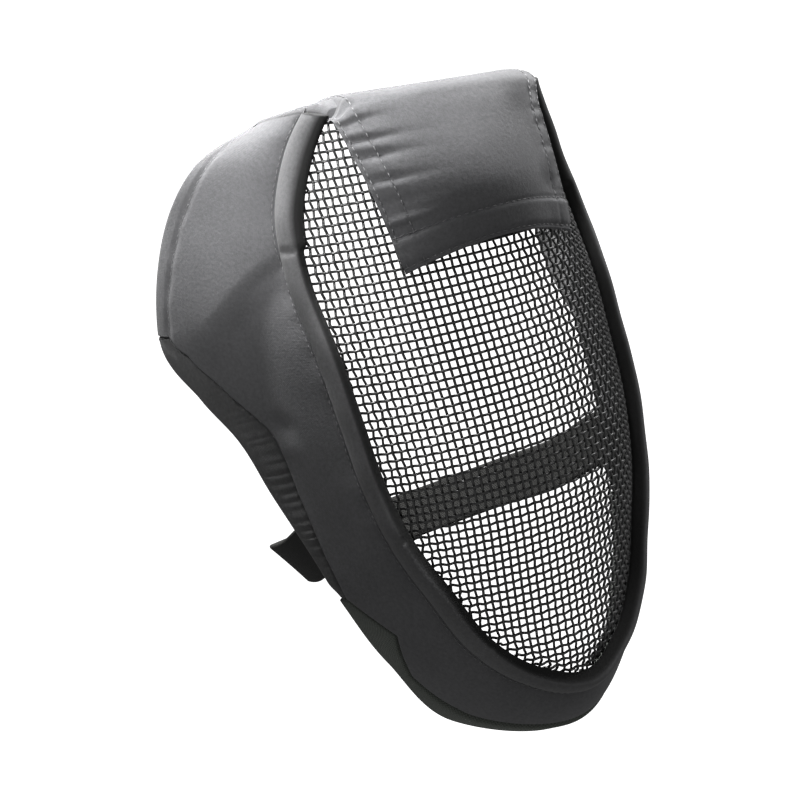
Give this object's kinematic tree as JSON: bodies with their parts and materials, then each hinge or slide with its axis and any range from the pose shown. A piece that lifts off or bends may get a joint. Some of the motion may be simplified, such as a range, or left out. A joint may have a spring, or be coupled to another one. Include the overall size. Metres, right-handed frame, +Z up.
{
  "type": "archery tag face mask",
  "caption": "Padded cloth face mask with a domed wire screen, a fold-down forehead flap and an elastic strap round the back of the head.",
  "frame": {"origin": "where the wearer's face sits: on the middle plane, level with the middle of the screen, in the plane of the opening's lip", "axes": "+Z up to the crown, the face looks along -Y, +X is the wearer's left"},
  "size_m": [0.197, 0.218, 0.2874],
  "materials": {
    "screen_wire": "satin black enamel on steel wire",
    "trim_cloth": "matt woven polyester, dark grey",
    "shell_cloth": "matt woven polyester, dark grey",
    "flap_cloth": "matt woven polyester, dark grey",
    "binding_cloth": "gathered stretch cloth, dark grey",
    "liner_cloth": "coarse knitted lining, grey-green",
    "webbing": "black elastic webbing"
  },
  "bodies": {
    "root": {"wire_screen": "screen_wire", "screen_trim": "trim_cloth", "padded_shell": "shell_cloth", "right_edge_binding": "binding_cloth", "left_edge_binding": "binding_cloth", "inner_liner": "liner_cloth", "crown_panel": "shell_cloth", "forehead_flap": "flap_cloth", "head_strap": "webbing"}
  },
  "joints": []
}
